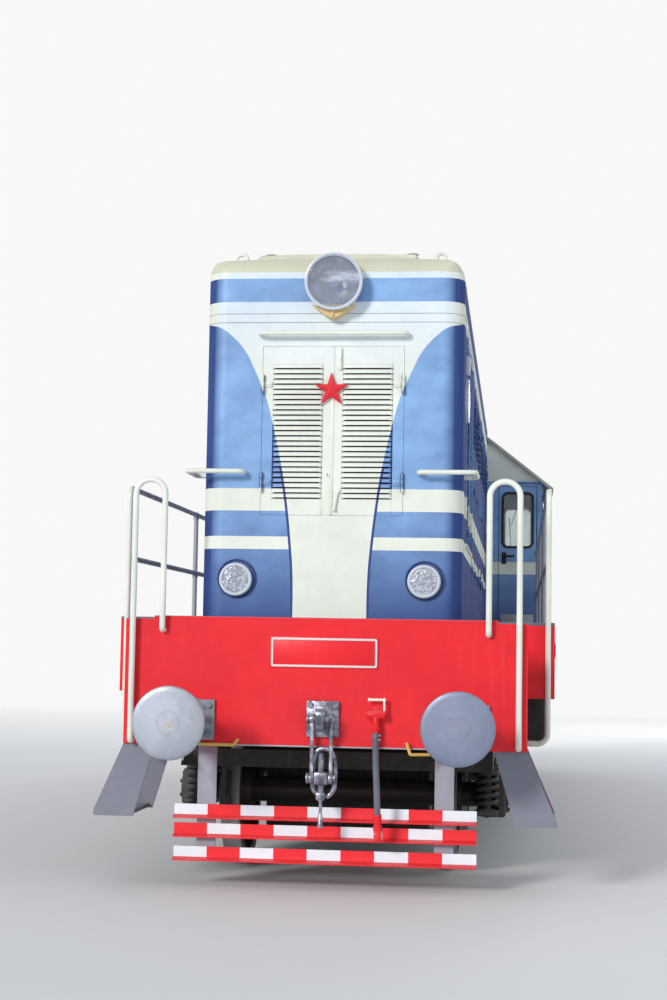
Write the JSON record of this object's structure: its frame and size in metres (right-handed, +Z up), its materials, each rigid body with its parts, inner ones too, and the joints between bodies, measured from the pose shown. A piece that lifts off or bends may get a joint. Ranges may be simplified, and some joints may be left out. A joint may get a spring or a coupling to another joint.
{
  "type": "diesel locomotive",
  "caption": "Diesel locomotive with a long louvred bonnet and one cab, railed side walkways, corner steps, side buffers and screw couplings, on two swivelling bogies.",
  "frame": {"origin": "on the floor under the middle of the vehicle, at the tips of the wheel flanges", "axes": "+Y from the long bonnet towards the cab end, +X across to the right seen from in front, +Z up"},
  "size_m": [3.2, 13.26, 4.2609],
  "materials": {
    "body_blue": "glossy",
    "cream_paint": "glossy",
    "red_paint": "glossy",
    "buffer_steel": "worn",
    "coupling_steel": "greasy",
    "guard_paint": "satin",
    "step_grey": "satin",
    "deck_grey": "matt",
    "rail_grey": "satin",
    "yellow_paint": "glossy",
    "lamp_rim": "satin",
    "lamp_glass": "ribbed",
    "window_glass": "clear",
    "bogie_grey": "dusty",
    "undergear_black": "dusty",
    "machinery_grey": "oily",
    "wheel_steel": "rolled tread, dusty web",
    "hose_rubber": "matt",
    "desk_grey": "satin",
    "seat_covering": "worn"
  },
  "bodies": {
    "locomotive": {"air_reservoirs": "undergear_black", "battery_boxes": "undergear_black", "bolsters": "undergear_black", "bonnet_nose": "body_blue", "bonnet_roof": "cream_paint", "bonnet_sides": "body_blue", "brake_cocks": "red_paint", "brake_hose": "hose_rubber", "buffer_beams": "red_paint", "buffers": "buffer_steel", "cab_end_walls": "body_blue", "cab_glass": "window_glass", "cab_roof": "cream_paint", "cab_side_walls": "body_blue", "control_desk": "desk_grey", "cross_bearers": "undergear_black", "deck_plate": "deck_grey", "driver_seats": "seat_covering", "engine_block": "machinery_grey", "exhaust_rim": "undergear_black", "fuel_tank": "undergear_black", "hand_holds": "yellow_paint", "handrails": "cream_paint", "hose_coupling_head": "red_paint", "lamp_lenses": "lamp_glass", "lamps": "lamp_rim", "lifting_hooks": "cream_paint", "main_sills": "undergear_black", "radiator_shutters": "body_blue", "rail_guards": "guard_paint", "rail_posts": "rail_grey", "rear_bonnet": "body_blue", "roof_hatch": "cream_paint", "screw_couplings": "coupling_steel", "side_rails": "rail_grey", "side_sills": "red_paint", "step_plates": "step_grey", "step_treads": "step_grey", "step_wells": "red_paint"},
    "wheelset_1": {"wheelset_1": "wheel_steel"},
    "wheelset_2": {"wheelset_2": "wheel_steel"},
    "wheelset_3": {"wheelset_3": "wheel_steel"},
    "wheelset_4": {"wheelset_4": "wheel_steel"},
    "bogie_front": {"bogie_frame_front": "bogie_grey", "brake_gear_front": "undergear_black", "suspension_front": "bogie_grey", "traction_motors_front": "machinery_grey"},
    "bogie_rear": {"bogie_frame_rear": "bogie_grey", "brake_gear_rear": "undergear_black", "suspension_rear": "bogie_grey", "traction_motors_rear": "machinery_grey"},
    "grille_door_right": {"grille_door_right": "body_blue"},
    "grille_door_left": {"grille_door_left": "body_blue"},
    "cab_door_front": {"cab_door_front": "body_blue"},
    "cab_door_rear": {"cab_door_rear": "body_blue"},
    "bonnet_door_right_fore": {"bonnet_door_right_fore": "body_blue"},
    "bonnet_door_right_aft": {"bonnet_door_right_aft": "body_blue"},
    "bonnet_door_left_fore": {"bonnet_door_left_fore": "body_blue"},
    "bonnet_door_left_aft": {"bonnet_door_left_aft": "body_blue"}
  },
  "joints": [
    {"name": "bogie_front_pivot", "type": "hinge", "parent": "locomotive", "child": "bogie_front", "pos_m": [0, -3.35, 0.8], "axis": [0, 0, 1], "range_deg": [-4, 4]},
    {"name": "bogie_rear_pivot", "type": "hinge", "parent": "locomotive", "child": "bogie_rear", "pos_m": [0, 3.35, 0.8], "axis": [0, 0, 1], "range_deg": [-4, 4]},
    {"name": "axle_1", "type": "hinge", "parent": "bogie_front", "child": "wheelset_1", "pos_m": [0, -4.55, 0.528], "axis": [1, 0, 0], "continuous": true},
    {"name": "axle_2", "type": "hinge", "parent": "bogie_front", "child": "wheelset_2", "pos_m": [0, -2.15, 0.528], "axis": [1, 0, 0], "continuous": true},
    {"name": "axle_3", "type": "hinge", "parent": "bogie_rear", "child": "wheelset_3", "pos_m": [0, 2.15, 0.528], "axis": [1, 0, 0], "continuous": true},
    {"name": "axle_4", "type": "hinge", "parent": "bogie_rear", "child": "wheelset_4", "pos_m": [0, 4.55, 0.528], "axis": [1, 0, 0], "continuous": true},
    {"name": "grille_door_right_hinge", "type": "hinge", "parent": "locomotive", "child": "grille_door_right", "pos_m": [0.465, -5.778, 2.97], "axis": [0, 0, 1], "range_deg": [0, 110]},
    {"name": "grille_door_left_hinge", "type": "hinge", "parent": "locomotive", "child": "grille_door_left", "pos_m": [-0.465, -5.778, 2.97], "axis": [0, 0, -1], "range_deg": [0, 110]},
    {"name": "cab_door_front_hinge", "type": "hinge", "parent": "locomotive", "child": "cab_door_front", "pos_m": [1.416, 2.418, 2.5], "axis": [0, 0, -1], "range_deg": [0, 88]},
    {"name": "cab_door_rear_hinge", "type": "hinge", "parent": "locomotive", "child": "cab_door_rear", "pos_m": [-1.416, 4.522, 2.5], "axis": [0, 0, -1], "range_deg": [0, 88]},
    {"name": "bonnet_door_right_fore_hinge", "type": "hinge", "parent": "locomotive", "child": "bonnet_door_right_fore", "pos_m": [0.878, -1.73, 2.8], "axis": [0, 0, -1], "range_deg": [0, 100]},
    {"name": "bonnet_door_right_aft_hinge", "type": "hinge", "parent": "locomotive", "child": "bonnet_door_right_aft", "pos_m": [0.878, -0.72, 2.8], "axis": [0, 0, 1], "range_deg": [0, 100]},
    {"name": "bonnet_door_left_fore_hinge", "type": "hinge", "parent": "locomotive", "child": "bonnet_door_left_fore", "pos_m": [-0.878, -1.73, 2.8], "axis": [0, 0, 1], "range_deg": [0, 100]},
    {"name": "bonnet_door_left_aft_hinge", "type": "hinge", "parent": "locomotive", "child": "bonnet_door_left_aft", "pos_m": [-0.878, -0.72, 2.8], "axis": [0, 0, -1], "range_deg": [0, 100]}
  ],
  "couplings": [
    {"joint": "grille_door_left_hinge", "follows": "grille_door_right_hinge", "ratio": 1}
  ]
}
